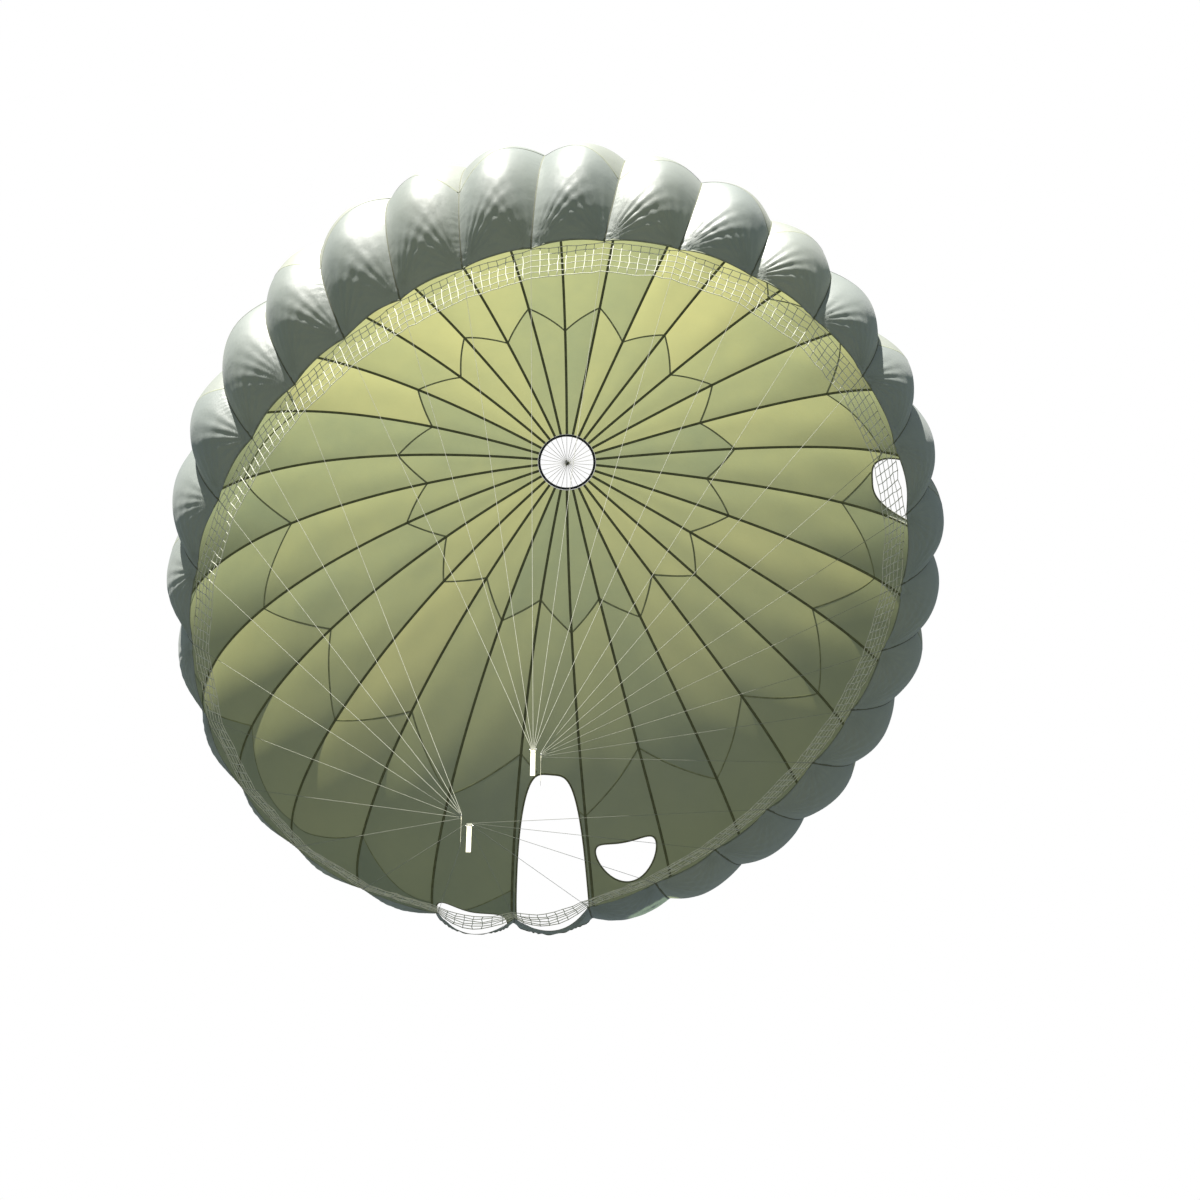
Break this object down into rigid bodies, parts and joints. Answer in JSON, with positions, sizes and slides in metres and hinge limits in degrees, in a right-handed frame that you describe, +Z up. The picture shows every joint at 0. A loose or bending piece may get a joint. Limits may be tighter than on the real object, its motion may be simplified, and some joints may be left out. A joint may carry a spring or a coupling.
{
  "type": "open round steerable parachute with its lines, skirt net, links and risers",
  "caption": "Inflated round canopy of sewn gores with a vent, steering slots, a skirt net, suspension lines, connector links and webbing risers, hung from its apex.",
  "frame": {"origin": "where the lines cross in the vent, level with the vent's rim; the canopy, the lines and the risers hang below it", "axes": "+Z up along the canopy's own axis; -Y towards the side with no drive slots; +X towards the single side slot"},
  "size_m": [7.4115, 7.6142, 11.0975],
  "materials": {
    "canopy_cloth": "thin calendered olive nylon, glossy outside, lets light through",
    "line_cord": "braided olive cord",
    "vent_tape": "dark woven tape",
    "netting": "pale knotless netting",
    "link_steel": "plated steel rod",
    "riser_webbing": "heavy woven webbing"
  },
  "bodies": {
    "root": {"gore_01": "canopy_cloth", "gore_02": "canopy_cloth", "gore_03": "canopy_cloth", "gore_04": "canopy_cloth", "gore_05": "canopy_cloth", "gore_06": "canopy_cloth", "gore_07": "canopy_cloth", "gore_08": "canopy_cloth", "gore_09": "canopy_cloth", "gore_10": "canopy_cloth", "gore_11": "canopy_cloth", "gore_12": "canopy_cloth", "gore_13": "canopy_cloth", "gore_14": "canopy_cloth", "gore_15": "canopy_cloth", "gore_16": "canopy_cloth", "gore_17": "canopy_cloth", "gore_18": "canopy_cloth", "gore_19": "canopy_cloth", "gore_20": "canopy_cloth", "gore_21": "canopy_cloth", "gore_22": "canopy_cloth", "gore_23": "canopy_cloth", "gore_24": "canopy_cloth", "gore_25": "canopy_cloth", "gore_26": "canopy_cloth", "gore_27": "canopy_cloth", "gore_28": "canopy_cloth", "gore_29": "canopy_cloth", "gore_30": "canopy_cloth", "line_01": "line_cord", "line_02": "line_cord", "line_03": "line_cord", "line_04": "line_cord", "line_05": "line_cord", "line_06": "line_cord", "line_07": "line_cord", "line_08": "line_cord", "line_09": "line_cord", "line_10": "line_cord", "line_11": "line_cord", "line_12": "line_cord", "line_13": "line_cord", "line_14": "line_cord", "line_15": "line_cord", "vent_band": "vent_tape", "skirt_net": "netting", "link_fore_right": "link_steel", "link_aft_right": "link_steel", "link_fore_left": "link_steel", "link_aft_left": "link_steel", "riser_fore_right": "riser_webbing", "riser_aft_right": "riser_webbing", "riser_fore_left": "riser_webbing", "riser_aft_left": "riser_webbing"}
  },
  "joints": []
}
